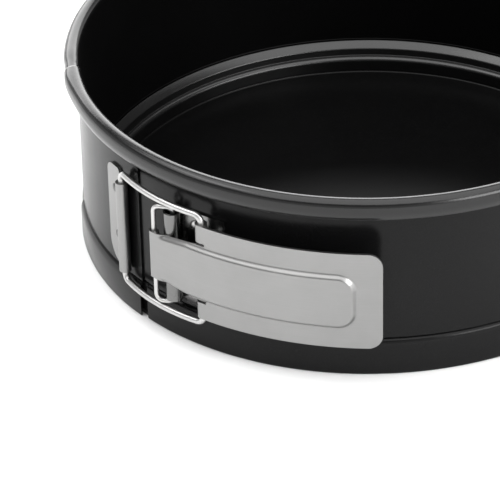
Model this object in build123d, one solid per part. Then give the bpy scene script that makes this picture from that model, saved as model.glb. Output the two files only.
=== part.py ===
from build123d import *
import os
from math import sin, cos, radians, degrees, hypot, atan2

# Springform cake pan, 20 cm x 7 cm: a split steel ring closed by an over-centre lever
# latch, with a loose dished base plate. Millimetres, +Z up, origin on the ring's axis in
# the plane it stands on. The latch faces -Y. Azimuths are degrees about +Z, -90 = front.

# ---- ring ------------------------------------------------------------------------------
T = 0.6                # sheet thickness of ring and base
RI = 100.0             # inner radius of the ring wall
H = 70.2               # overall height of the ring
ROLL = 2.8             # outer radius of the rolled rim
LIP_Z = 63.2           # lower lip of the rolled rim
LIP_IN = 0.7           # how far the lip leans back toward the wall
BEAD_R = 101.7         # outer radius of the foot bead
BEAD_TOP, BEAD_Z = 14.0, 11.2   # crease above the bead, top of its upright face
HEM_R = 98.9           # inner edge of the hem turned in under the foot
LAP_GAP = 0.06         # clearance between the two layers of the lap
TIP_L = -109.3         # visible vertical edge of the outer layer
TIP_R = -140.5         # hidden edge of the inner layer
JOG = 1.7              # gap behind the hidden edge, where the strip steps outward, degrees
NECK_ROLL = 1.9        # outer radius of the rim where it is necked down to enter the lap
LAP_TOP = 59.6         # top of the outer layer inside the lap, below the rim's lip

# ---- base plate ------------------------------------------------------------------------
FLOOR_Z = 2.8          # top of the floor
STEP_R, STEP_TOP = 94.1, 8.6
RIM_FIT = 0.28         # clearance between the base's edge and the ring wall

# ---- latch -----------------------------------------------------------------------------
ZC = 34.4              # mid height of the latch
AZ_A, R_A = -112.8, 103.7     # anchor hinge
AZ_P, R_P = -91.3, 105.4      # bail hinge in the lever
AZ_N = -101.8          # nose hinge of the lever, before the lever's lean
AZ_B, R_B = -98.7, 103.4      # link's inner leg in the bracket's hook
LEAN = -2.2            # the lever's grip end stands off the ring, degrees about the bail
BAIL_D = 2.2           # wire of the bail
LINK_D = 1.6           # wire of the link
PIN = 0.06             # radial running clearance in the rolled eyes
PLATE = 0.9            # thickness of lever, anchor and bracket plates
BAIL_H = 42.6          # bail width between wire centres, along Z
LINK_H = 37.6
RIB_UP = 1.4           # height of the lever's rib above its plate
RIB_T = 0.8            # sheet left over the rib's hollow
RIB_HALF = 10.6        # half height of the rib at its root
RIB_END = -61.5
GRIP_END = -57.0
LEVER_LO, LEVER_HI = -18.3, 18.5
NOSE_HALF = 9.05
HOOK_R = 2.15          # inside radius of the bracket's hook
HOOK_T = 0.75
BRACKET_END = -87.6

EYE_R = BAIL_D / 2 + PIN
PLATE_OUT = R_P + EYE_R + PLATE
RIB_OUT = PLATE_OUT + RIB_UP
NOSE_IN = LINK_D / 2 + PIN
NOSE_OUT = NOSE_IN + RIB_T
R_N = RIB_OUT - NOSE_OUT


def at(az, r, z=0.0):
    return Vector(r * cos(radians(az)), r * sin(radians(az)), z)


def revolve_arc(pts, az0, az1):
    """Solid of revolution of an (r, z) outline between two azimuths."""
    wire = make_face(Polyline(*[(r, 0, z) for r, z in pts], close=True))
    wire = wire.rotate(Axis.Z, az0)
    return revolve(wire, Axis.Z, az1 - az0)


def arc_pts(cx, cz, r, a0, a1, n):
    return [(cx + r * cos(radians(a0 + (a1 - a0) * i / n)),
             cz + r * sin(radians(a0 + (a1 - a0) * i / n))) for i in range(n + 1)]


def sheet(center, thick):
    """Closed outline of a sheet whose left-hand face follows the given (r, z) line."""
    off = []
    for i, p in enumerate(center):
        a = center[max(i - 1, 0)]
        b = center[min(i + 1, len(center) - 1)]
        d = hypot(b[0] - a[0], b[1] - a[1])
        off.append((p[0] + thick * (b[1] - a[1]) / d, p[1] - thick * (b[0] - a[0]) / d))
    return center + off[::-1]


def ring_section(off=0.0, hem=True):
    """Inner face of the strip from its foot to the wall; the sheet lies outside it."""
    ri = RI + off
    bi = BEAD_R - T + off
    line = [(bi, 0.5), (bi, 3.0)]
    if hem:
        line = [(HEM_R, T), (bi - 0.9, T)] + arc_pts(bi - 0.8, T + 0.8, 0.8, -90, 0, 4)
    line += [(bi, BEAD_Z - 0.6), (bi - 0.25, BEAD_Z + 0.25), (ri + 0.12, BEAD_TOP - 0.55),
             (ri, BEAD_TOP - 0.1)]
    return line


def ring_body_line():
    line = ring_section()
    line += arc_pts(RI + ROLL, H - ROLL, ROLL, 180, 0, 16)
    line += [(RI + 2 * ROLL, LIP_Z + 1.6), (RI + 2 * ROLL - LIP_IN, LIP_Z)]
    return line


def band():
    """The split ring: one strip with its two ends lapped under the latch."""
    full = sheet(ring_body_line(), T)
    # from the hidden end, right round the back, to just short of the lap
    main = revolve_arc(full, TIP_R, TIP_R + 360 - JOG)
    step = T + LAP_GAP
    lap = sheet(ring_section(step, False) + [(RI + step, LAP_TOP)], T)
    outer = revolve_arc(lap, TIP_R - JOG - 0.4, TIP_L)
    joint = sheet(ring_section(0.0, False) + [(RI, LAP_TOP)], T + step)
    joggle = revolve_arc(joint, TIP_R - JOG - 0.4, TIP_R - JOG + 0.4)
    # the rim enters the lap as a smaller roll inside the other end's roll
    roll = arc_pts(RI + step + NECK_ROLL, H - T - 0.4 - NECK_ROLL, NECK_ROLL, 180, 0, 12)
    neck = [(RI + step, LAP_TOP - 1)] + roll
    neck += [(RI + step + 2 * NECK_ROLL, LIP_Z + 2.0), (RI + step + 2 * NECK_ROLL - 0.4, LIP_Z + 0.6)]
    neck = revolve_arc(sheet(neck, T), TIP_R - JOG - 0.4, TIP_R + 1.6)
    # the outer layer's top corner is rounded
    tip = at(TIP_L, RI + step + T / 2, LAP_TOP)
    corner = Pos(-2.5, 0, -2.5) * (Box(5, 5, 5) - Pos(-2.5, 0, -2.5) * Rot(90, 0, 0) * Cylinder(2.5, 20))
    outer -= Pos(*tip) * Rot(0, 0, TIP_L + 90) * Pos(2.5, 0, 2.5) * corner
    return main + outer + joggle + neck


def base_plate():
    """Loose dished base: flat floor, step up, narrow flat shelf, flared rim."""
    edge = RI - RIM_FIT - T
    line = [(edge, BEAD_TOP - 0.5), (edge - 2.37, 11.3), (edge - 2.82, STEP_TOP + 0.25)]
    line += arc_pts(STEP_R + 1.9, STEP_TOP - 1.7, 1.9, 90, 180, 6)
    line += arc_pts(STEP_R - 0.7, FLOOR_Z + 0.7, 0.7, 0, -90, 4)
    line += [(0, FLOOR_Z)]
    under = sheet(line[::-1], T)
    under = [(max(r, 0.0), z) for r, z in under]
    pts = []
    for q in under:
        if not pts or hypot(q[0] - pts[-1][0], q[1] - pts[-1][1]) > 1e-6:
            pts.append(q)
    return revolve_arc(pts, 0, 360)


def sector(az0, az1, r0, r1, z0, z1):
    """Plate bent to the ring: sector between two azimuths, radii and heights."""
    return revolve_arc([(r0, z0), (r1, z0), (r1, z1), (r0, z1)], az0, az1)


def eye(az, r, z0, z1, inner, outer):
    """Rolled eye: a tube about a vertical axis."""
    p = at(az, r, (z0 + z1) / 2)
    return Pos(*p) * (Cylinder(outer, z1 - z0) - Cylinder(inner, z1 - z0 + 2))


def wire_loop(p, q, mid, zlo, zhi, d, bend):
    """Closed rectangular loop of round wire: upright legs at p and q, arms through mid."""
    part = None
    for z, s in ((zlo, 1), (zhi, -1)):
        arc = ThreePointArc((p.X, p.Y, z), (mid.X, mid.Y, z), (q.X, q.Y, z))
        f = bend / arc.length
        lo, hi = arc @ f, arc @ (1 - f)
        run = ThreePointArc(lo, arc @ 0.5, hi)
        t0, t1 = run % 0, run % 1
        e0 = Spline((p.X, p.Y, z + s * bend), lo, tangents=((0, 0, -s), (t0.X, t0.Y, 0)))
        e1 = Spline(hi, (q.X, q.Y, z + s * bend), tangents=((t1.X, t1.Y, 0), (0, 0, s)))
        path = Wire([e0, run, e1])
        section = Plane(origin=path @ 0, z_dir=path % 0) * Circle(d / 2)
        piece = sweep(section, path)
        part = piece if part is None else part + piece
    tall = zhi - zlo - 2 * bend
    for e in (p, q):
        part += Pos(e.X, e.Y, (zlo + zhi) / 2) * Cylinder(d / 2, tall)
    return part


def turn(p, pivot, deg):
    c, k = cos(radians(deg)), sin(radians(deg))
    dx, dy = p.X - pivot.X, p.Y - pivot.Y
    return Vector(pivot.X + c * dx - k * dy, pivot.Y + k * dx + c * dy, p.Z)


def bail():
    """Closed wire loop: left leg in the anchor's eye, right leg in the lever's eyes."""
    return wire_loop(at(AZ_A, R_A), at(AZ_P, R_P), at((AZ_A + AZ_P) / 2, 105.6),
                     ZC - BAIL_H / 2, ZC + BAIL_H / 2, BAIL_D, 2.6)


def nose_link():
    """Small wire loop from the lever's nose to the bracket's hook."""
    n = turn(at(AZ_N, R_N), at(AZ_P, R_P), LEAN)
    b = at(AZ_B, R_B)
    mid = (n + b) * 0.5
    out = mid.normalized() * 0.45
    return wire_loop(n, b, mid + out, ZC - LINK_H / 2, ZC + LINK_H / 2, LINK_D, 1.9)


def round_corner(part, az, r, z, rad, to_az, to_z):
    """Round the corner of a bent plate; to_az and to_z point from it into the plate."""
    block = Box(2 * rad, 16, 2 * rad)
    block -= Pos(to_az * rad, 0, to_z * rad) * Rot(90, 0, 0) * Cylinder(rad, 18)
    return part - Pos(*at(az, r, z)) * Rot(0, 0, az + 90) * block


def anchor_plate():
    """Plate riveted to the outer layer, its free edge rolled into the bail's eye."""
    r0 = RI + 2 * T + LAP_GAP
    z0, z1, az0 = 14.6, 54.4, -119.4
    zb0, zb1 = ZC - 18.0, ZC + 17.4
    plate = sector(az0, AZ_A - 0.55, r0, r0 + PLATE, z0, z1)
    plate -= sector(AZ_A - 1.7, AZ_A + 3, r0 - 1, r0 + 8, zb1, zb1 + 20)
    plate -= sector(AZ_A - 1.7, AZ_A + 3, r0 - 1, r0 + 8, zb0 - 20, zb0)
    plate += eye(AZ_A, R_A, zb0, zb1, EYE_R, EYE_R + PLATE)
    plate -= Pos(*at(AZ_A, R_A, ZC)) * Cylinder(EYE_R, 80)
    plate = round_corner(plate, az0, r0, z1, 3.4, 1, -1)
    return round_corner(plate, az0, r0, z0, 9.5, 1, 1)


def rivets(spots, r, head):
    """Low domed rivet heads standing on a plate's outer face."""
    dome_r = 3.2
    deep = (dome_r ** 2 - head ** 2) ** 0.5
    dome = Pos(0, deep, 0) * Sphere(dome_r)
    dome &= Pos(0, -2.0, 0) * Box(12, 4.0, 12)
    solids = [Pos(*at(az, r + 0.02, z)) * Rot(0, 0, az + 90) * dome for az, z in spots]
    return Compound(children=solids)


def anchor_rivets():
    return rivets([(-116.6, 45.4), (-116.2, 27.2)], RI + 2 * T + LAP_GAP + PLATE, 1.7)


def bracket_rivets():
    return rivets([(-94.0, ZC + 13.4), (-94.0, ZC - 13.4)], RI + T + PLATE, 2.2)


def bracket():
    """Plate riveted to the inner end, its edge curled into an open eye for the link."""
    r0 = RI + T
    hook_az, hook_r = AZ_B - 0.06, R_B + 0.2
    plate = sector(hook_az, BRACKET_END, r0, r0 + PLATE, ZC - 17.2, ZC + 17.2)
    plate += sector(-96.8, BRACKET_END, r0, r0 + PLATE, ZC - 18.6, ZC + 18.6)
    plate += eye(hook_az, hook_r, ZC - 17.2, ZC + 17.2, HOOK_R, HOOK_R + HOOK_T)
    plate -= Pos(*at(hook_az, hook_r, ZC)) * Cylinder(HOOK_R, 60)
    # only the sheet at the ring's side of the eye is kept flush with the wall
    plate -= sector(-104, -84, 95, r0, ZC - 20, ZC + 20)
    return plate


def rib_shell(az0, az1, grow):
    """Cross-section of the rib, bevelled on both sides, swept between two azimuths."""
    h, up = RIB_HALF + grow, RIB_OUT + grow
    low = R_P + 0.4
    pts = [(low, ZC - h - 0.9), (PLATE_OUT + grow, ZC - h), (up, ZC - h + RIB_UP),
           (up, ZC + h - RIB_UP), (PLATE_OUT + grow, ZC + h), (low, ZC + h + 0.9)]
    return revolve_arc(pts, az0, az1)


def lever():
    """Cam lever: plate bent to the ring, raised rib, two eyes on the bail, rolled nose."""
    z0, z1 = ZC + LEVER_LO, ZC + LEVER_HI
    plate = sector(AZ_P, GRIP_END, PLATE_OUT - PLATE, PLATE_OUT, z0, z1)
    for z, s in ((z0, 1), (z1, -1)):
        plate = round_corner(plate, GRIP_END, PLATE_OUT, z, 5.0, -1, s)
    rib = rib_shell(AZ_N, RIB_END, 0.0)
    rib &= sector(AZ_N, RIB_END, PLATE_OUT - PLATE, RIB_OUT + 1, ZC - 12, ZC + 12)
    for s in (1, -1):
        rib = round_corner(rib, RIB_END, RIB_OUT, ZC + s * RIB_HALF, 6.5, -1, -s)
    body = plate + rib
    hollow = rib_shell(AZ_N - 3, RIB_END - 1.2, -RIB_T)
    for s in (1, -1):
        hollow = round_corner(hollow, RIB_END - 1.2, RIB_OUT, ZC + s * RIB_HALF, 6.5, -1, -s)
    body -= hollow
    # relief notches beside the rib free the two eyes from the tongue
    for lo, hi in ((RIB_HALF - 0.1, RIB_HALF + 1.5), (-RIB_HALF - 1.5, -RIB_HALF + 0.1)):
        body -= sector(AZ_P - 3, AZ_P + 1.5, R_P - 3, RIB_OUT + 1, ZC + lo, ZC + hi)
    for lo, hi in ((RIB_HALF + 1.5, LEVER_HI), (LEVER_LO, -RIB_HALF - 1.5)):
        body += eye(AZ_P, R_P, ZC + lo, ZC + hi, EYE_R, EYE_R + PLATE)
    body -= Pos(*at(AZ_P, R_P, ZC)) * Cylinder(EYE_R, 60)
    # the tongue narrows toward the nose
    nose = at(AZ_N, R_N)
    for s in (1, -1):
        wedge = Pos(-7.5, 0, s * 7.5) * Box(30, 14, 15)
        wedge = Pos(*at(AZ_N, RIB_OUT, ZC + s * NOSE_HALF)) * Rot(0, 0, AZ_N + 90) * (
            Rot(0, -s * 4.6, 0) * Pos(12, 0, 0) * wedge)
        body -= wedge & sector(AZ_N - 3, AZ_P - 0.8, R_P - 4, RIB_OUT + 3, ZC - 16, ZC + 16)
    body += Pos(nose.X, nose.Y, ZC) * Cylinder(NOSE_OUT, 2 * NOSE_HALF)
    body -= Pos(nose.X, nose.Y, ZC) * Cylinder(NOSE_IN, 60)
    # the nose curls round from the tongue's face, so the tongue stops at its centre line
    p = at(AZ_P, R_P)
    return Pos(p.X, p.Y, 0) * Rot(0, 0, LEAN) * Pos(-p.X, -p.Y, 0) * body


def build():
    os.makedirs("parts", exist_ok=True)
    makers = (band, base_plate, anchor_plate, anchor_rivets, bail, lever, nose_link,
              bracket, bracket_rivets)
    names = {band: "ring_band"}
    for make in makers:
        name = names.get(make, make.__name__)
        solid = make()
        boxed = solid.bounding_box()
        print(name, len(solid.solids()), round(solid.volume, 1), solid.is_valid,
              [round(v, 1) for v in (*boxed.min, *boxed.max)])
        export_step(solid, f"parts/{name}.step")


build()
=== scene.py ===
import math
import bmesh
import bpy
from mathutils import Matrix, Vector


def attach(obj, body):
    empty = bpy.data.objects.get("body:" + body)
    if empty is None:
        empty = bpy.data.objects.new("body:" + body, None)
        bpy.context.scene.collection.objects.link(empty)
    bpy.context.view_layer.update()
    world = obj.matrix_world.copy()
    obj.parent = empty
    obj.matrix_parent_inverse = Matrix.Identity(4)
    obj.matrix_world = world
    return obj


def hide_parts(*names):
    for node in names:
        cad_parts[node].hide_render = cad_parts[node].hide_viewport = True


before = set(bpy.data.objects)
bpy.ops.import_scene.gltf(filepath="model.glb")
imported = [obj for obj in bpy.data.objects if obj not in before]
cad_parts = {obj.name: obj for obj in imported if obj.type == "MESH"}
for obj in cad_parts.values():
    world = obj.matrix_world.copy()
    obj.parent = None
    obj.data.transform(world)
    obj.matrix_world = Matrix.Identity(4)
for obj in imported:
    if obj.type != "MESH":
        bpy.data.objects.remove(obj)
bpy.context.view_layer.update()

MM = 0.001

# ---------------------------------------------------------------- sizes, in millimetres and degrees
T = 0.6                               # sheet of ring and base
RI, H = 100.0, 70.2                   # inner radius and height of the ring
ROLL, LIP_Z, LIP_IN = 2.8, 63.2, 0.7  # rim: roll radius, lower lip, how far the lip leans in
BEAD_R, BEAD_TOP, HEM_R = 101.7, 14.0, 98.9
GAP = 0.06                            # clearance between the two layers of the lap
TIP_L, TIP_R = -109.3, -140.5         # outer layer's visible edge, inner layer's hidden edge
JOG = 1.7                             # width of the step outward behind the hidden edge
LAP_TOP = 59.6                        # top of the outer layer, before its drawn-up edge
FLOOR_Z, STEP_R, STEP_TOP = 2.8, 94.1, 8.6
BASE_FIT = 0.28                       # clearance between the base's edge and the wall
ZC = 34.4                             # middle height of the latch
AZ_A, R_A = -112.8, 103.7             # bail hinge in the anchor
AZ_P, R_P = -91.3, 105.4              # bail hinge in the lever
AZ_N = -101.8                         # nose hinge, before the lever's lean
AZ_B, R_B = -98.7, 103.4              # link's inner leg in the bracket
LEAN = -2.2                           # the grip end stands off the ring
BAIL_D, LINK_D, PIN, PLATE = 2.2, 1.6, 0.06, 0.9
BAIL_H, LINK_H = 42.6, 37.6           # widths between wire centres, along Z
BAIL_BEND, LINK_BEND = 2.8, 2.4       # corner radii of the wires
RIB_UP, RIB_T, RIB_HALF, RIB_END = 1.4, 0.8, 10.6, -61.5
RIB_CORNER, RIB_BEVEL = 6.6, 1.9      # rounding of the rib's end, width of its sloping side
GRIP_END, GRIP_CORNER = -57.0, 5.0
LEVER_LO, LEVER_HI, NOSE_HALF = -18.3, 18.5, 9.05
LAP_CORNER = 3.2                      # radius of the outer layer's upper corner
EYE_R = BAIL_D / 2 + PIN
PLATE_OUT = R_P + EYE_R + PLATE
RIB_OUT = PLATE_OUT + RIB_UP
NOSE_OUT = LINK_D / 2 + PIN + RIB_T
R_N = RIB_OUT - NOSE_OUT


def rad(a):
    return math.radians(a)


def at(az, r, z=0.0):
    """Point at an azimuth, radius and height."""
    return Vector((r * math.cos(rad(az)), r * math.sin(rad(az)), z))


def turn(p, pivot, deg):
    """Turn a point about an upright axis."""
    c, s = math.cos(rad(deg)), math.sin(rad(deg))
    dx, dy = p.x - pivot.x, p.y - pivot.y
    return Vector((pivot.x + c * dx - s * dy, pivot.y + s * dx + c * dy, p.z))


def smooth(t):
    """Ease from 0 to 1 while t runs from 0 to 1."""
    t = min(max(t, 0.0), 1.0)
    return t * t * (3 - 2 * t)


def arc(cx, cz, r, a0, a1, n):
    """Points of an (r, z) arc, both ends included."""
    return [(cx + r * math.cos(rad(a0 + (a1 - a0) * i / n)),
             cz + r * math.sin(rad(a0 + (a1 - a0) * i / n))) for i in range(n + 1)]


# ---------------------------------------------------------------- mesh helpers
def new_object(name, verts, faces, smooth_faces=True):
    mesh = bpy.data.meshes.new(name)
    mesh.from_pydata([tuple(v[i] * MM for i in range(3)) for v in verts], [], faces)
    mesh.validate()
    mesh.update()
    ob = bpy.data.objects.new(name, mesh)
    bpy.context.scene.collection.objects.link(ob)
    if smooth_faces:
        mesh.polygons.foreach_set("use_smooth", [True] * len(mesh.polygons))
        mesh.update()
    return ob


def add_grid(verts, faces, rows, closed_v=False):
    """Append a grid of points given as rows; closed_v joins each row's end to its start."""
    base, n = len(verts), len(rows[0])
    for row in rows:
        verts.extend(row)
    for i in range(len(rows) - 1):
        for j in range(n if closed_v else n - 1):
            k = (j + 1) % n
            a, b = base + i * n + j, base + i * n + k
            faces.append((a, b, b + n, a + n))


def cut_end(verts, faces, row, flip, lip=3):
    """Close a swept sheet with a strip of faces; it has corners of its own, so the edge stays crisp."""
    base, m = len(verts), len(row)
    n = (m - 2 * lip) // 2
    verts.extend(row)
    polys = [(i, i + 1, m - lip - 2 - i, m - lip - 1 - i) for i in range(n - 1)]
    polys += [tuple(range(n - 1, n + lip + 1)), tuple(range(m - lip - 1, m)) + (0,)]
    for q in polys:
        faces.append(tuple(base + k for k in (q[::-1] if flip else q)))


def offset(line, thick):
    """Points a sheet's thickness to the right of an (r, z) line, mitred at its corners."""
    out = []
    for i, p in enumerate(line):
        ds = []
        for q0, q1 in ((i - 1, i), (i, i + 1)):
            if q0 >= 0 and q1 < len(line):
                dx, dz = line[q1][0] - line[q0][0], line[q1][1] - line[q0][1]
                d = math.hypot(dx, dz)
                ds.append((dz / d, -dx / d))
        nx, nz = sum(d[0] for d in ds) / len(ds), sum(d[1] for d in ds) / len(ds)
        k = nx * nx + nz * nz
        out.append((p[0] + thick * nx / k, p[1] + thick * nz / k))
    return out


def closed_sheet(line, thick, lip=3):
    """Closed (r, z) outline of a sheet with rounded cut edges."""
    off = offset(line, thick)
    out = list(line)
    for a, b, prev in ((line[-1], off[-1], line[-2]), (off[0], line[0], None)):
        cx, cz = (a[0] + b[0]) / 2, (a[1] + b[1]) / 2
        ux, uz = a[0] - cx, a[1] - cz
        vx, vz = -uz, ux
        ref = line[-1] if prev else line[0]
        nxt = line[-2] if prev else line[1]
        dx, dz = ref[0] - nxt[0], ref[1] - nxt[1]
        if vx * dx + vz * dz < 0:
            vx, vz = -vx, -vz
        for i in range(1, lip + 1):
            t = math.pi * i / (lip + 1)
            out.append((cx + ux * math.cos(t) + vx * math.sin(t),
                        cz + uz * math.cos(t) + vz * math.sin(t)))
        if prev:
            out.extend(off[::-1])
    return out


def lathe(verts, faces, az0, az1, step, shape):
    """Sweep a closed (r, z) outline, given by shape(azimuth), between two azimuths."""
    n = max(2, int(math.ceil((az1 - az0) / step)))
    rows = []
    for i in range(n + 1):
        az = az0 + (az1 - az0) * i / n
        c, s = math.cos(rad(az)), math.sin(rad(az))
        rows.append([(r * c, r * s, z) for r, z in shape(az)])
    add_grid(verts, faces, rows, True)
    cut_end(verts, faces, rows[0], False)
    cut_end(verts, faces, rows[-1], True)


def densify(line, most):
    """Add points to a line until none are further apart than most."""
    out = [line[0]]
    for a, b in zip(line, line[1:]):
        dr, dz = b[0] - a[0], b[1] - a[1]
        k = max(1, int(math.ceil(math.hypot(dr, dz) / most)))
        out += [(a[0] + dr * i / k, a[1] + dz * i / k) for i in range(1, k + 1)]
    return out


def corner_cut(d, r):
    """How much a rounded corner of radius r takes off at a distance d from the end."""
    return r - math.sqrt(max(r ** 2 - (r - d) ** 2, 0.0)) if d < r else 0.0


def round_line(line, r, n=5):
    """Round the inner corners of an (r, z) polyline with short arcs."""
    out = [line[0]]
    for a, p, b in zip(line, line[1:], line[2:]):
        va, vb = Vector((a[0] - p[0], a[1] - p[1])), Vector((b[0] - p[0], b[1] - p[1]))
        la, lb = va.length, vb.length
        d = min(r, la * 0.45, lb * 0.45)
        s, e = va / la * d, vb / lb * d
        for i in range(n + 1):
            t = i / n
            q = s * (1 - t) ** 2 + e * t ** 2
            out.append((p[0] + q.x, p[1] + q.y))
    out.append(line[-1])
    return out


# ---------------------------------------------------------------- materials
def material(name):
    m = bpy.data.materials.new(name)
    m.use_nodes = True
    t = m.node_tree
    t.nodes.clear()
    out = t.nodes.new("ShaderNodeOutputMaterial")
    b = t.nodes.new("ShaderNodeBsdfPrincipled")
    t.links.new(b.outputs[0], out.inputs[0])
    return m, t, b


def node(t, kind, **values):
    n = t.nodes.new(kind)
    for k, v in values.items():
        setattr(n, k, v)
    return n


def noise(t, vec, scale, detail=2.0, rough=0.5):
    n = node(t, "ShaderNodeTexNoise")
    n.inputs["Scale"].default_value = scale
    n.inputs["Detail"].default_value = detail
    n.inputs["Roughness"].default_value = rough
    t.links.new(vec, n.inputs["Vector"])
    return n.outputs["Fac"]


def ramp(t, fac, stops):
    n = node(t, "ShaderNodeValToRGB")
    e = n.color_ramp.elements
    while len(e) < len(stops):
        e.new(0.5)
    for el, (pos, v) in zip(e, stops):
        el.position = pos
        el.color = (v, v, v, 1) if isinstance(v, (int, float)) else (*v, 1)
    t.links.new(fac, n.inputs["Fac"])
    return n.outputs["Color"]


def bump(t, height, strength, dist, normal=None):
    n = node(t, "ShaderNodeBump")
    n.inputs["Strength"].default_value = strength
    n.inputs["Distance"].default_value = dist
    t.links.new(height, n.inputs["Height"])
    if normal is not None:
        t.links.new(normal, n.inputs["Normal"])
    return n.outputs["Normal"]


def coords(t):
    return node(t, "ShaderNodeTexCoord").outputs["Object"]


def scaled(t, vec, s):
    n = node(t, "ShaderNodeMapping")
    n.inputs["Scale"].default_value = s
    t.links.new(vec, n.inputs["Vector"])
    return n.outputs["Vector"]


def maths(t, op, a, b=None, clamp=False):
    n = node(t, "ShaderNodeMath", operation=op, use_clamp=clamp)
    for i, v in enumerate((a, b)):
        if v is None:
            continue
        if isinstance(v, (int, float)):
            n.inputs[i].default_value = v
        else:
            t.links.new(v, n.inputs[i])
    return n.outputs[0]


def nonstick(name, rough, spec, base, speckle, shine=0.0, shine_from=0.0):
    """Baked non-stick coating: near black, fine orange peel, tiny paler flecks; shinier above shine_from."""
    m, t, b = material(name)
    co = coords(t)
    fleck = ramp(t, noise(t, co, 2600.0, 2.0, 0.6),
                 [(0.0, 0.0), (0.60, 0.0), (0.72, 1.0), (1.0, 1.0)])
    cloud = noise(t, co, 34.0, 3.0, 0.55)
    tone = maths(t, "ADD", maths(t, "MULTIPLY", fleck, speckle),
                 maths(t, "MULTIPLY", cloud, base * 0.5))
    tone = maths(t, "ADD", tone, base * 0.75)
    mix = node(t, "ShaderNodeCombineColor")
    for i, k in enumerate((1.0, 1.0, 1.03)):
        t.links.new(maths(t, "MULTIPLY", tone, k), mix.inputs[i])
    t.links.new(mix.outputs[0], b.inputs["Base Color"])
    r = maths(t, "ADD", maths(t, "MULTIPLY", noise(t, co, 90.0, 4.0, 0.6), 0.10),
              rough - 0.05)
    t.links.new(maths(t, "ADD", r, maths(t, "MULTIPLY", fleck, 0.05)), b.inputs["Roughness"])
    # rolled and drawn edges are burnished, so they shine more than the flats below them
    if shine:
        sep = node(t, "ShaderNodeSeparateXYZ")
        t.links.new(co, sep.inputs[0])
        lift = maths(t, "MULTIPLY", maths(t, "SUBTRACT", sep.outputs[2], shine_from), 800.0, True)
        t.links.new(maths(t, "ADD", maths(t, "MULTIPLY", lift, shine), spec),
                    b.inputs["Specular IOR Level"])
    b.inputs["Specular IOR Level"].default_value = spec
    fine = bump(t, noise(t, co, 1500.0, 2.0, 0.5), 0.10, 0.00012)
    wide = bump(t, noise(t, co, 260.0, 2.0, 0.5), 0.05, 0.0003, fine)
    t.links.new(wide, b.inputs["Normal"])
    return m


def steel(name, tone, rough, grain):
    """Bright stamped steel, a touch warm: rolled grain, faint cloudy tarnish, small scuffs."""
    m, t, b = material(name)
    co = coords(t)
    roll = noise(t, scaled(t, co, grain), 1.0, 3.0, 0.6)
    cloud = noise(t, co, 55.0, 3.0, 0.55)
    scuff = ramp(t, noise(t, scaled(t, co, (900.0, 900.0, 5200.0)), 1.0, 1.0, 0.5),
                 [(0.0, 0.0), (0.66, 0.0), (0.74, 1.0), (1.0, 1.0)])
    v = maths(t, "ADD", maths(t, "MULTIPLY", roll, 0.03), tone - 0.045)
    v = maths(t, "ADD", v, maths(t, "MULTIPLY", cloud, 0.06))
    mix = node(t, "ShaderNodeCombineColor")
    for i, k in enumerate((1.0, 0.995, 0.985)):
        t.links.new(maths(t, "MULTIPLY", v, k, True), mix.inputs[i])
    t.links.new(mix.outputs[0], b.inputs["Base Color"])
    b.inputs["Metallic"].default_value = 1.0
    r = maths(t, "ADD", maths(t, "MULTIPLY", roll, 0.05), rough - 0.05)
    r = maths(t, "ADD", r, maths(t, "MULTIPLY", cloud, 0.05))
    t.links.new(maths(t, "ADD", r, maths(t, "MULTIPLY", scuff, 0.06)), b.inputs["Roughness"])
    n1 = bump(t, roll, 0.008, 0.00004)
    n2 = bump(t, noise(t, co, 420.0, 2.0, 0.5), 0.02, 0.0001, n1)
    t.links.new(n2, b.inputs["Normal"])
    return m


COAT = nonstick("outer_lacquer", 0.21, 0.15, 0.0040, 0.003, 0.27, 0.0628)
# inner non-stick: a matt coating of its own, with its base tone set below the lacquer's as painted shade for
# the inside of the pan
COAT_IN_PAINTED_SHADE = nonstick("inner_nonstick_painted_shade", 0.38, 0.08, 0.0015, 0.004)
# base non-stick: base tone set below the lacquer's as painted shade for the floor inside the pan; its paler
# flecks are its own
COAT_BASE_PAINTED_SHADE = nonstick("nonstick_base_painted_shade", 0.30, 0.09, 0.0018, 0.009, 0.50, 0.0029)
PLATED = steel("latch_sheet", 0.26, 0.34, (70.0, 70.0, 3800.0))
WIRE = steel("latch_wire", 0.50, 0.36, (2400.0, 2400.0, 160.0))
CUT = steel("sheared_edge", 0.40, 0.38, (900.0, 900.0, 900.0))
# anchor rivet steel toned dark: painted shade, so the low heads read as shaded marks on the plate
RIVET_STEEL_PAINTED_SHADE = steel("anchor_rivet_painted_shade", 0.13, 0.30, (500.0, 500.0, 500.0))
# bracket rivet steel toned light: painted highlight on the domes standing in the bracket's shade
RIVET_STEEL_PAINTED_HIGHLIGHT = steel("bracket_rivet_painted_highlight", 0.42, 0.26, (500.0, 500.0, 500.0))
# bracket steel toned darker than the latch sheet: painted shade for the bracket lying in shadow behind the
# lever
BRACKET_STEEL_PAINTED_SHADE = steel("bracket_sheet_painted_shade", 0.17, 0.24, (70.0, 70.0, 3800.0))


def paint(ob, mat):
    ob.data.materials.clear()
    ob.data.materials.append(mat)
    return ob


# ---------------------------------------------------------------- ring
def wall_line(off=0.0, hem=True):
    """Inner face of the wall from the foot up: hem, bead, the groove above it, start of the wall."""
    ri, bi = RI + off, BEAD_R - T + off
    foot = [(HEM_R, T), (bi, T)] if hem else [(bi, 0.5)]
    reach, top = bi - ri, BEAD_TOP - 0.75
    bulge = [(ri + reach * math.cos(rad(a)), top - 2.9 * (1 - math.sin(rad(a))))
             for a in range(0, 91, 10)]
    groove = [(ri - 0.2, top + 0.2), (ri - 0.2, top + 0.7), (ri, top + 0.85), (ri, top + 1.6)]
    return foot + bulge + groove


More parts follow.
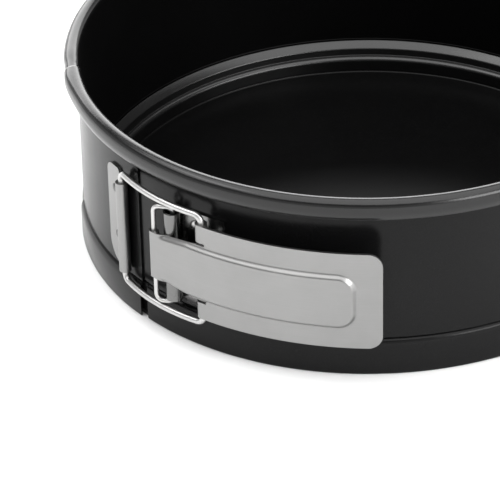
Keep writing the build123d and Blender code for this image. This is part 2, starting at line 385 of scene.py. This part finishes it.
def ring_line():
    """Inner face of the whole ring section, from the hem round to the rim's lip."""
    line = wall_line() + [(RI, H - ROLL)]
    line = round_line(line, 0.2, 3)
    line += arc(RI + ROLL, H - ROLL, ROLL, 180, 0, 22)[1:]
    out = RI + 2 * ROLL
    tail = [(out, H - ROLL), (out, LIP_Z + 2.2), (out - LIP_IN, LIP_Z)]
    return line + round_line(tail, 1.6)[1:]


def inside_out(ob):
    """The inner face carries the matt non-stick coating, toned darker than the lacquer as painted shade
    inside the pan; the outer face the glossier lacquer.
    """
    ob.data.materials.append(COAT_IN_PAINTED_SHADE)
    for p in ob.data.polygons:
        c = p.center / MM
        r = math.hypot(c.x, c.y)
        inward = (p.normal.x * c.x + p.normal.y * c.y) < 0
        if r < RI + T + GAP + 0.05 and inward and c.z < H - 1.2:
            p.material_index = 1
    return ob


def ring_shape(full, az):
    """The ring's section at an azimuth: hidden end, long way round, then the end that enters the lap."""
    t = az - TIP_R
    hidden = t < 180.0
    # the roll hugs the other end's rim at its cut edge, opens slightly just past it, then settles
    open_up = (0.045 + 0.055 * smooth(t / 2.4) - 0.10 * smooth((t - 2.8) / 8.0)) if hidden else 0.0
    rise = (0.26 * (1 - smooth((t - 0.5) / 9.0)) - 0.14 * (1 - smooth(t / 0.35))) if hidden else 0.0
    # inside the lap the foot bead is drawn in; it steps out again past the other end's edge
    draw = smooth((t - 1.0) / 1.5) * (1 - smooth((az - TIP_L - 1.25) / 0.45)) if hidden else 0.0
    # the entering end: wall stepped out by one sheet, roll slimmed to slip inside the other roll
    e = t - 360.0
    wall = smooth((e + JOG + 1.6) / 1.8)
    neck = smooth((e + 7.0) / 6.4)
    out = []
    for r, z in full:
        up = smooth((z - 60.0) / 4.0)
        outer = smooth((r - RI - 1.0) / 1.8) * (1.0 if z > 60 else 0.0)
        nr = RI + (r - RI) * (1 + (open_up if hidden else -0.11 * neck) * outer)
        top = smooth((z - 65.0) / 4.0)
        if not hidden:
            nr += (T + GAP) * wall * (1 - 0.75 * up)
            z = z - 0.40 * neck * top
        else:
            z = z + rise * top
        if draw and z < 15:
            nr -= 0.95 * draw * (1 - smooth((z - 11.0) / 3.4)) * smooth((r - 99.2) / 1.0)
        out.append((nr, z))
    return out


def creased(outline):
    """Score the sheet's outer face just above the foot bead."""
    z_c, deep, half = BEAD_TOP - 0.3, 0.32, 0.5
    out = []
    for r, z in outline:
        score = deep * max(0.0, 1 - abs(z - z_c) / half) if r > RI + T * 0.55 else 0.0
        out.append((r - score, z))
    return out


def ring_mesh():
    """The split strip in one sweep, once round and on into the lap; finest at its ends and edges."""
    full = creased(closed_sheet(densify(ring_line(), 3.0), T))
    spans = ((TIP_R, TIP_R + 0.4, 0.05), (TIP_R + 0.4, TIP_R + 12, 0.15),
             (TIP_R + 12, TIP_L + 0.9, 0.5), (TIP_L + 0.9, TIP_L + 2.0, 0.06),
             (TIP_L + 2.0, TIP_R + 354, 0.4), (TIP_R + 354, TIP_R + 362.6, 0.12))
    azs = [TIP_R]
    for a0, a1, step in spans:
        n = int(math.ceil((a1 - a0) / step))
        azs += [a0 + (a1 - a0) * i / n for i in range(1, n + 1)]
    rows = [[tuple(at(az, r, z)) for r, z in ring_shape(full, az)] for az in azs]
    verts, faces = [], []
    m = len(full)
    add_grid(verts, faces, rows, True)
    first = len(faces)
    cut_end(verts, faces, rows[0], False)
    last = len(faces)
    cut_end(verts, faces, rows[-1], True)
    shell = inside_out(paint(new_object("ring_shell", verts, faces), COAT))
    # the sheared end of the strip is bare where the coating has drawn back from the corner
    shell.data.materials.append(CUT)
    for p in shell.data.polygons:
        if first <= p.index < last or (p.index < 3 * m and p.center.z > 0.058):
            p.material_index = 2
    return shell


def lap_mesh():
    """Outer layer of the lap, ending in the upright edge with its rounded corner."""
    verts, faces = [], []
    step = T + GAP
    line = round_line(wall_line(step, False), 0.2, 3)
    tucked = 1.6            # how far the layer's top reaches up behind the rim
    parts = 17

    def shape(az):
        top = LAP_TOP + tucked - corner_cut((TIP_L - az) * rad(1) * RI, LAP_CORNER)
        r0, z0 = line[-1]
        pts = [(r0, z0 + (top - z0) * i / parts) for i in range(1, parts + 1)]
        return closed_sheet(line + pts, T)
    lathe(verts, faces, TIP_R - 1.0, TIP_L - 1.9, 0.5, shape)
    lathe(verts, faces, TIP_L - 1.9, TIP_L, 0.06, shape)
    return paint(new_object("ring_outer_layer", verts, faces), COAT)


shell = ring_mesh()
layer = lap_mesh()
for piece in (shell, layer):
    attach(piece, "ring")
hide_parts("ring_band")


# ---------------------------------------------------------------- base plate
def base_mesh():
    """Dished base: flat floor, rounded step, narrow shelf, rim flared out to the wall."""
    edge = RI - BASE_FIT - T
    line = [(r, FLOOR_Z) for r in (0.001, 20, 60, 85)]
    line += arc(STEP_R - 0.7, FLOOR_Z + 0.7, 0.7, -90, 0, 8)
    line += arc(STEP_R + 1.9, STEP_TOP - 1.7, 1.9, 180, 90, 14)
    flare = [(STEP_R + 1.95, STEP_TOP + 0.2), (edge - 2.82, STEP_TOP + 0.25), (edge - 2.37, 11.3),
             (edge, BEAD_TOP - 0.5)]
    line += round_line(flare, 0.4, 4)
    under = offset(line, T)
    (r0, z0), (r1, _) = line[-1], under[-1]
    ring = line[1:] + [((r0 + r1) / 2 + 0.12, z0 + 0.22)] + under[:0:-1]
    verts, faces, n, m = [], [], 720, len(ring)
    for i in range(n):
        c, s = math.cos(2 * math.pi * i / n), math.sin(2 * math.pi * i / n)
        verts.extend([(r * c, r * s, z) for r, z in ring])
    top, low = len(verts), len(verts) + 1
    verts += [(0, 0, FLOOR_Z), (0, 0, FLOOR_Z - T)]
    for i in range(n):
        k = (i + 1) % n
        for j in range(m - 1):
            faces.append((i * m + j, i * m + j + 1, k * m + j + 1, k * m + j))
    for i in range(n):
        k = (i + 1) % n
        faces.append((top, i * m, k * m))
        faces.append((low, k * m + m - 1, i * m + m - 1))
    # the dish takes the darkened base coating, which is painted shade inside the pan
    return paint(new_object("base_dish", verts, faces), COAT_BASE_PAINTED_SHADE)


dish = base_mesh()
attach(dish, "base")
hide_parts("base_plate")


# ---------------------------------------------------------------- sheet-metal helper
def pressed(name, patches, thick, mat, bevel):
    """Join point grids (outer face of a bent sheet) into one sheet, thickened inward."""
    verts, faces = [], []
    for rows in patches:
        add_grid(verts, faces, [[tuple(p) for p in row] for row in rows])
    ob = new_object(name, verts, [f[::-1] for f in faces])
    bm = bmesh.new()
    bm.from_mesh(ob.data)
    bmesh.ops.remove_doubles(bm, verts=bm.verts, dist=0.00002)
    bm.to_mesh(ob.data)
    bm.free()
    s = ob.modifiers.new("sheet", "SOLIDIFY")
    s.thickness = thick * MM
    s.offset = -1.0
    s.use_even_offset = False
    b = ob.modifiers.new("edge", "BEVEL")
    b.width = bevel * MM
    b.segments = 2
    b.limit_method = "ANGLE"
    b.angle_limit = rad(50)
    b.harden_normals = True
    return paint(ob, mat)


def spread(a, b, n):
    return [a + (b - a) * i / n for i in range(n + 1)]


# ---------------------------------------------------------------- lever
PIVOT_P = at(AZ_P, R_P)


def lean(p):
    """Turn a point of the lever about the bail, so that the grip stands off the ring."""
    return turn(p, PIVOT_P, LEAN)


def tongue_half(az):
    """Half width of the tongue, which tapers from the bail to the nose."""
    k = smooth((AZ_P - az) / (AZ_P - AZ_N)) if az < AZ_P else 0.0
    return RIB_HALF + 0.25 + (NOSE_HALF - RIB_HALF - 0.25) * k


def rib_height(az, z):
    """How far the pressed rib stands above the plate at an azimuth and height."""
    half = min(tongue_half(az), RIB_HALF)
    d_end = (RIB_END - az) * rad(1) * PLATE_OUT
    d_side = half - abs(z)
    if d_end < RIB_CORNER and d_side < RIB_CORNER:
        d = RIB_CORNER - math.hypot(RIB_CORNER - d_end, RIB_CORNER - d_side)
    else:
        d = min(d_end, d_side)
    flat = smooth((az - AZ_N - 1.3) / 2.0)
    up = smooth((d + 0.15) / RIB_BEVEL)
    return RIB_UP * (1 - flat * (1 - up))


def lever_mesh():
    """Plate with rib and grip, tongue rolled into the nose, and an eye above and below it."""
    notch = AZ_P + 1.35
    side = RIB_HALF + 0.25
    lo_rows = spread(LEVER_LO, -side - 1.05, 9)
    mid_rows = spread(-side, side, 76)
    hi_rows = spread(side + 1.05, LEVER_HI, 9)
    rows_z = lo_rows + mid_rows + hi_rows
    span = (GRIP_END - notch)
    azs = [notch + span * (i / 250) for i in range(236)]
    last = azs[-1]
    azs += [last + (GRIP_END - last) * math.sin(math.pi / 2 * i / 30) for i in range(1, 31)]
    flank = side + 1.05     # where the flat strips above and below the rib begin

    def rows_at(az, zs):
        cut = corner_cut((GRIP_END - az) * rad(1) * PLATE_OUT, GRIP_CORNER)
        out = []
        for z in zs:
            zz = z
            if z > side + 0.5:
                zz = flank + (z - flank) * (LEVER_HI - cut - flank) / (LEVER_HI - flank)
            elif z < -side - 0.5:
                zz = -flank + (z + flank) * (-LEVER_LO - cut - flank) / (-LEVER_LO - flank)
            out.append(lean(at(az, PLATE_OUT + rib_height(az, zz), ZC + zz)))
        return out
    patches = [[rows_at(az, rows_z) for az in azs]]
    # tongue from the notch to the nose, then the nose rolled round the link's leg
    t_azs = spread(AZ_N, notch, 90)
    grid = []
    n = at(AZ_N, R_N)
    out_dir, tan_dir = at(AZ_N, 1.0), at(AZ_N + 90, 1.0)
    for phi in spread(292, 4, 48):
        p = n + out_dir * (NOSE_OUT * math.cos(rad(phi))) - tan_dir * (NOSE_OUT * math.sin(rad(phi)))
        hz = NOSE_HALF - 0.5 * smooth((phi - 60) / 120)
        grid.append([lean(Vector((p.x, p.y, ZC + z * hz / side))) for z in mid_rows])
    for az in t_azs:
        f = tongue_half(az) / side
        grid.append([lean(at(az, PLATE_OUT + rib_height(az, z * f), ZC + z * f)) for z in mid_rows])
    patches.append(grid)
    # two eyes rolled back round the bail's leg, free of the tongue on both sides
    pp = at(AZ_P, R_P)
    out_dir, tan_dir = at(AZ_P, 1.0), at(AZ_P + 90, 1.0)
    r_eye = PLATE_OUT - R_P
    for zs in (lo_rows, hi_rows):
        grid = []
        for phi in spread(300, 4, 44):
            p = pp + out_dir * (r_eye * math.cos(rad(phi))) - tan_dir * (r_eye * math.sin(rad(phi)))
            grid.append([lean(Vector((p.x, p.y, ZC + z))) for z in zs])
        for az in spread(AZ_P, notch, 8):
            grid.append([lean(at(az, PLATE_OUT, ZC + z)) for z in zs])
        patches.append(grid)
    return pressed("lever_plate", patches, PLATE, PLATED, 0.14)


lever = lever_mesh()
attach(lever, "lever")
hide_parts("lever")


# ---------------------------------------------------------------- anchor plate
def anchor_mesh():
    """Plate with rounded left corners, ramped up and rolled into the bail's eye."""
    r0 = RI + 2 * T + GAP
    z0, z1, az0 = 14.6, 54.4, -119.4
    zb0, zb1 = ZC - 18.0, ZC + 17.4
    notch = AZ_A - 1.75
    face = r0 + PLATE
    rows = spread(0.0, 1.0, 60)

    def half(az, rad_c):
        return corner_cut((az - az0) * rad(1) * face, rad_c)
    azs = [az0 + (notch - az0) * (1 - math.cos(math.pi / 2 * i / 60)) for i in range(61)]
    grid = []
    for az in azs:
        lo, hi = z0 + half(az, 9.5), z1 - half(az, 3.6)
        k = smooth((az - notch + 1.0) / 1.0)
        lo, hi = lo + (zb0 - lo) * k * k, hi + (zb1 - hi) * k * k
        grid.append([at(az, face, lo + (hi - lo) * f) for f in rows])
    a = at(AZ_A, R_A)
    out_dir, tan_dir = at(AZ_A, 1.0), at(AZ_A + 90, 1.0)
    r_eye = EYE_R + PLATE
    # ramp up from the plate to the top of the eye, then round it
    start = at(notch, face)
    top = a + out_dir * (r_eye * math.cos(rad(58))) - tan_dir * (r_eye * math.sin(rad(58)))
    tdir = -(out_dir * -math.sin(rad(58)) - tan_dir * math.cos(rad(58)))
    plate_dir = at(notch + 90, 1.0)
    for f in spread(0.0, 1.0, 10)[1:]:
        h1, h2 = 2 * f ** 3 - 3 * f ** 2 + 1, f ** 3 - 2 * f ** 2 + f
        h3, h4 = -2 * f ** 3 + 3 * f ** 2, f ** 3 - f ** 2
        p = start * h1 + plate_dir * (1.6 * h2) + top * h3 + tdir * (1.6 * h4)
        grid.append([Vector((p.x, p.y, zb0 + (zb1 - zb0) * g)) for g in rows])
    for phi in spread(58, -225, 40)[1:]:
        p = a + out_dir * (r_eye * math.cos(rad(phi))) - tan_dir * (r_eye * math.sin(rad(phi)))
        grid.append([Vector((p.x, p.y, zb0 + (zb1 - zb0) * g)) for g in rows])
    return pressed("anchor_sheet", [grid], PLATE, PLATED, 0.13)


anchor = anchor_mesh()
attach(anchor, "ring")
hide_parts("anchor_plate")


# ---------------------------------------------------------------- bracket, rivets
def cad(name, mat):
    """Give a material to a CAD node that keeps its own shape."""
    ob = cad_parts[name]
    for i in range(max(1, len(ob.material_slots))):
        if len(ob.material_slots) == 0:
            ob.data.materials.append(mat)
        ob.material_slots[i].link = "OBJECT"
        ob.material_slots[i].material = mat


# the bracket keeps its CAD shape and takes the darkened steel, which is painted shade
cad("bracket", BRACKET_STEEL_PAINTED_SHADE)


def rivet_mesh(name, spots, face_r, head, mat):
    """Low domed heads with a rolled edge and the slight flat left by the setting tool."""
    prof = [(0.0, 0.62), (head * 0.30, 0.61), (head * 0.55, 0.54), (head * 0.80, 0.38),
            (head * 0.95, 0.20), (head, 0.07), (head * 0.985, 0.0), (head * 0.9, -0.05)]
    verts, faces, n = [], [], 40
    for az, z in spots:
        o, u, v = at(az, face_r, z), at(az + 90, 1.0), Vector((0, 0, 1))
        w = at(az, 1.0)
        base = len(verts)
        verts.append(o + w * prof[0][1])
        for r, h in prof[1:]:
            for i in range(n):
                c, s = math.cos(2 * math.pi * i / n), math.sin(2 * math.pi * i / n)
                verts.append(o + u * (r * c) + v * (r * s) + w * h)
        for i in range(n):
            k = (i + 1) % n
            faces.append((base, base + 1 + i, base + 1 + k))
            for j in range(len(prof) - 2):
                q = base + 1 + j * n
                faces.append((q + i, q + n + i, q + n + k, q + k))
        faces.append(tuple(base + 1 + (len(prof) - 2) * n + i for i in range(n))[::-1])
    return paint(new_object(name, verts, faces), mat)


r_plate = RI + 2 * T + GAP + PLATE
# anchor heads take the dark rivet steel, which is painted shade
a_riv = rivet_mesh("anchor_rivet_heads", [(-116.6, 45.4), (-116.2, 27.2)], r_plate, 1.65, RIVET_STEEL_PAINTED_SHADE)
# bracket heads take the light rivet steel, which is a painted highlight
b_riv = rivet_mesh("bracket_rivet_heads", [(-94.0, ZC + 13.4), (-94.0, ZC - 13.4)], RI + T + PLATE, 2.2,
                   RIVET_STEEL_PAINTED_HIGHLIGHT)
for piece, cad_name in ((a_riv, "anchor_rivets"), (b_riv, "bracket_rivets")):
    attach(piece, "ring")
    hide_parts(cad_name)


# ---------------------------------------------------------------- wires
def wire_mesh(name, p, q, mid, zlo, zhi, d, bend, mat):
    """Closed loop of round wire: upright legs at p and q, arms that follow the ring."""
    # circle through p, mid and q in plan
    ax, ay, bx, by, cx, cy = p.x, p.y, mid.x, mid.y, q.x, q.y
    k = 2 * (ax * (by - cy) + bx * (cy - ay) + cx * (ay - by))
    aa, bb, cc = ax * ax + ay * ay, bx * bx + by * by, cx * cx + cy * cy
    ux = (aa * (by - cy) + bb * (cy - ay) + cc * (ay - by)) / k
    uy = (aa * (cx - bx) + bb * (ax - cx) + cc * (bx - ax)) / k
    rr = math.hypot(ax - ux, ay - uy)
    t0, t1 = math.atan2(ay - uy, ax - ux), math.atan2(cy - uy, cx - ux)
    length = rr * abs(t1 - t0)

    def place(s, z):
        t = t0 + (t1 - t0) * s / length
        return Vector((ux + rr * math.cos(t), uy + rr * math.sin(t), z))
    path = []
    for cs, cz, a0 in ((length - bend, zlo + bend, -90), (length - bend, zhi - bend, 0),
                       (bend, zhi - bend, 90), (bend, zlo + bend, 180)):
        for i in range(13):
            t = rad(a0 + 90 * i / 12)
            path.append((cs + bend * math.cos(t), cz + bend * math.sin(t)))
    dense = []
    for a, b in zip(path, path[1:] + path[:1]):
        m = max(1, int(math.hypot(b[0] - a[0], b[1] - a[1]) / 0.7))
        dense += [(a[0] + (b[0] - a[0]) * i / m, a[1] + (b[1] - a[1]) * i / m) for i in range(m)]
    pts = [place(s, z) for s, z in dense]
    rows, n = [], 28
    for i, c in enumerate(pts):
        t = (pts[(i + 1) % len(pts)] - pts[i - 1]).normalized()
        # the loop lies on a cylinder, so its outward normal frames every section
        out = Vector((c.x - ux, c.y - uy, 0)).normalized()
        out = (out - t * out.dot(t)).normalized()
        side = t.cross(out)
        turns = [2 * math.pi * j / n for j in range(n)]
        rows.append([c + out * (d / 2 * math.cos(a)) + side * (d / 2 * math.sin(a)) for a in turns])
    verts, faces = [], []
    add_grid(verts, faces, rows + [rows[0]], True)
    return paint(new_object(name, verts, faces), mat)


bail = wire_mesh("bail_wire", at(AZ_A, R_A), at(AZ_P, R_P), at((AZ_A + AZ_P) / 2, 105.6),
                 ZC - BAIL_H / 2, ZC + BAIL_H / 2, BAIL_D, BAIL_BEND, WIRE)
nose = lean(at(AZ_N, R_N))
inner = at(AZ_B, R_B)
middle = (nose + inner) * 0.5
middle = middle + middle.normalized() * 0.45
link = wire_mesh("link_wire", nose, inner, middle,
                 ZC - LINK_H / 2, ZC + LINK_H / 2, LINK_D, LINK_BEND, WIRE)
for piece, body, cad_name in ((bail, "bail", "bail"), (link, "link", "nose_link")):
    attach(piece, body)
    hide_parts(cad_name)


# ---------------------------------------------------------------- stage
def plane_piece(name, size, z, mat):
    verts = [(-size, -size, z), (size, -size, z), (size, size, z), (-size, size, z)]
    ob = new_object(name, verts, [(0, 1, 2, 3)], False)
    return paint(ob, mat)


def floor_material():
    m, t, b = material("floor_white")
    co = coords(t)
    f = noise(t, co, 6.0, 2.0, 0.5)
    v = maths(t, "ADD", maths(t, "MULTIPLY", f, 0.015), 0.86)
    c = node(t, "ShaderNodeCombineColor")
    for i in range(3):
        t.links.new(v, c.inputs[i])
    t.links.new(c.outputs[0], b.inputs["Base Color"])
    b.inputs["Roughness"].default_value = 0.75
    b.inputs["Specular IOR Level"].default_value = 0.15
    return m


floor = plane_piece("floor", 6000.0, -0.05, floor_material())


def sky(t):
    """White sweep behind and around the table, fading to a dim ceiling."""
    bg = t.nodes["Background"]
    geo = node(t, "ShaderNodeTexCoord")
    sep = node(t, "ShaderNodeSeparateXYZ")
    t.links.new(geo.outputs["Generated"], sep.inputs[0])
    band = ramp(t, maths(t, "ADD", maths(t, "MULTIPLY", sep.outputs[2], 0.5), 0.5),
                [(0.0, 0.9), (0.55, 1.0), (0.66, 0.72), (0.76, 0.12), (1.0, 0.08)])
    t.links.new(band, bg.inputs[0])
    bg.inputs[1].default_value = 1.0


world = bpy.data.worlds.new("studio")
bpy.context.scene.world = world
world.use_nodes = True
sky(world.node_tree)


def area(name, az, elev, dist, size, power, target=(0, 0, 0.03)):
    """Soft box at an azimuth and elevation round the pan, aimed at it."""
    data = bpy.data.lights.new(name, "AREA")
    data.shape = "RECTANGLE"
    data.size, data.size_y = size
    data.energy = power
    ob = bpy.data.objects.new(name, data)
    bpy.context.scene.collection.objects.link(ob)
    c = Vector(target)
    flat = math.cos(rad(elev))
    d = Vector((math.cos(rad(az)) * flat, math.sin(rad(az)) * flat, math.sin(rad(elev))))
    ob.location = c + d * dist
    ob.rotation_mode = "QUATERNION"
    ob.rotation_quaternion = (-d).to_track_quat("-Z", "Y")


area("top_softbox", -60, 84, 1.9, (3.0, 3.0), 80.0)
area("back_softbox", 132, 26, 1.6, (2.2, 0.9), 31.0)
area("right_softbox", -8, 22, 1.6, (1.2, 0.7), 22.0)
area("key_softbox", -146, 50, 1.6, (0.9, 0.7), 6.0)


# ---------------------------------------------------------------- camera
def camera():
    """The photograph's viewpoint: a long lens, well above and to the left of the latch."""
    rot = rad(30.0)
    yaw, pitch, roll = rad(-2.36785), rad(33.21144), rad(-1.42980)
    pos = Vector((0.0, -1.028943, 0.657430))
    fwd = Vector((math.sin(yaw) * math.cos(pitch), math.cos(yaw) * math.cos(pitch), -math.sin(pitch)))
    right = Vector((math.cos(yaw), -math.sin(yaw), 0.0))
    up = right.cross(fwd)
    c, s = math.cos(roll), math.sin(roll)
    right, up = right * c + up * s, up * c - right * s
    m = Matrix.Rotation(rot, 3, "Z")
    right, up, fwd, pos = m @ right, m @ up, m @ fwd, m @ pos
    data = bpy.data.cameras.new("photo_camera")
    data.sensor_width = 36.0
    data.lens = 245.115
    data.clip_start, data.clip_end = 0.05, 50.0
    data.dof.use_dof = False
    ob = bpy.data.objects.new("photo_camera", data)
    bpy.context.scene.collection.objects.link(ob)
    ob.matrix_world = Matrix((
        (right.x, up.x, -fwd.x, pos.x), (right.y, up.y, -fwd.y, pos.y),
        (right.z, up.z, -fwd.z, pos.z), (0, 0, 0, 1)))
    bpy.context.scene.camera = ob


camera()
bpy.context.scene.view_settings.view_transform = "Standard"
